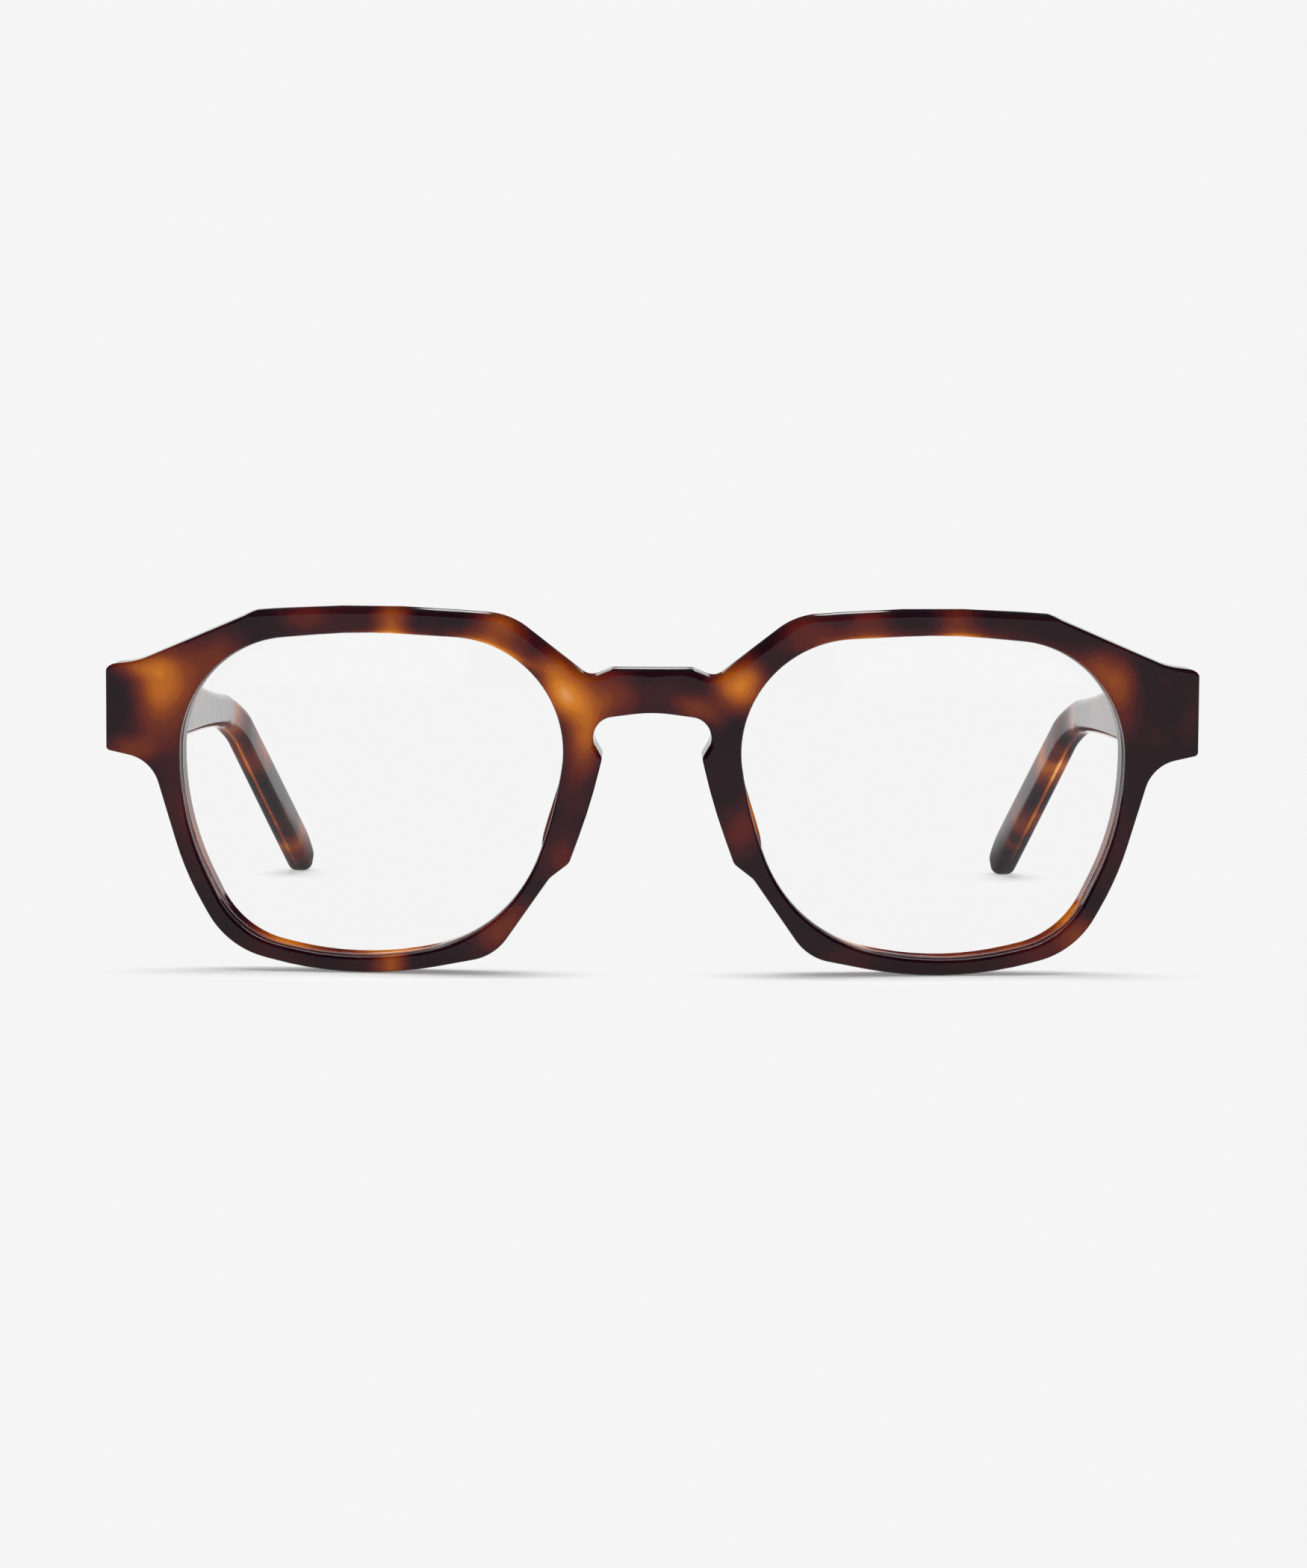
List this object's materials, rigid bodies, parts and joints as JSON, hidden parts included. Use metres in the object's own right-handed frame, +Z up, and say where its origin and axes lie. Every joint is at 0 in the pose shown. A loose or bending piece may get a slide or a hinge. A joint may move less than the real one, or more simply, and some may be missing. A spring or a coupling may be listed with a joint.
{
  "type": "eyeglasses",
  "caption": "Full-rim tortoiseshell acetate eyeglasses with a keyhole bridge, clear lenses and folding temples on barrel hinges, standing open on the rims and temple tips.",
  "frame": {"origin": "middle of the bounding box's bottom: the surface that the rims and temple tips stand on, halfway between brow and tips", "axes": "+Z up from that surface; +Y from the front to the temple tips, so the wearer looks along -Y; +X to the wearer's left"},
  "size_m": [0.1434, 0.1518, 0.0475],
  "materials": {
    "acetate": "polished tortoiseshell: amber patches in dark brown",
    "demo_lens": "clear, polished",
    "hinge_metal": "satin nickel silver",
    "screw_steel": "bright steel",
    "core_wire": "drawn wire"
  },
  "bodies": {
    "front": {"front": "acetate", "lens_left": "demo_lens", "lens_right": "demo_lens", "nose_pad_left": "acetate", "nose_pad_right": "acetate", "hinge_front_left": "hinge_metal", "hinge_front_right": "hinge_metal", "hinge_screw_left": "screw_steel", "hinge_screw_right": "screw_steel"},
    "temple_left": {"temple_left": "acetate", "hinge_temple_left": "hinge_metal", "core_wire_left": "core_wire"},
    "temple_right": {"temple_right": "acetate", "hinge_temple_right": "hinge_metal", "core_wire_right": "core_wire"}
  },
  "joints": [
    {"name": "temple_left_fold", "type": "hinge", "parent": "front", "child": "temple_left", "pos_m": [0.06582, -0.06012, 0.03463], "axis": [0, -0.0698, 0.9976], "range_deg": [0, 85]},
    {"name": "temple_right_fold", "type": "hinge", "parent": "front", "child": "temple_right", "pos_m": [-0.06582, -0.06012, 0.03463], "axis": [0, 0.0698, -0.9976], "range_deg": [0, 80]}
  ]
}
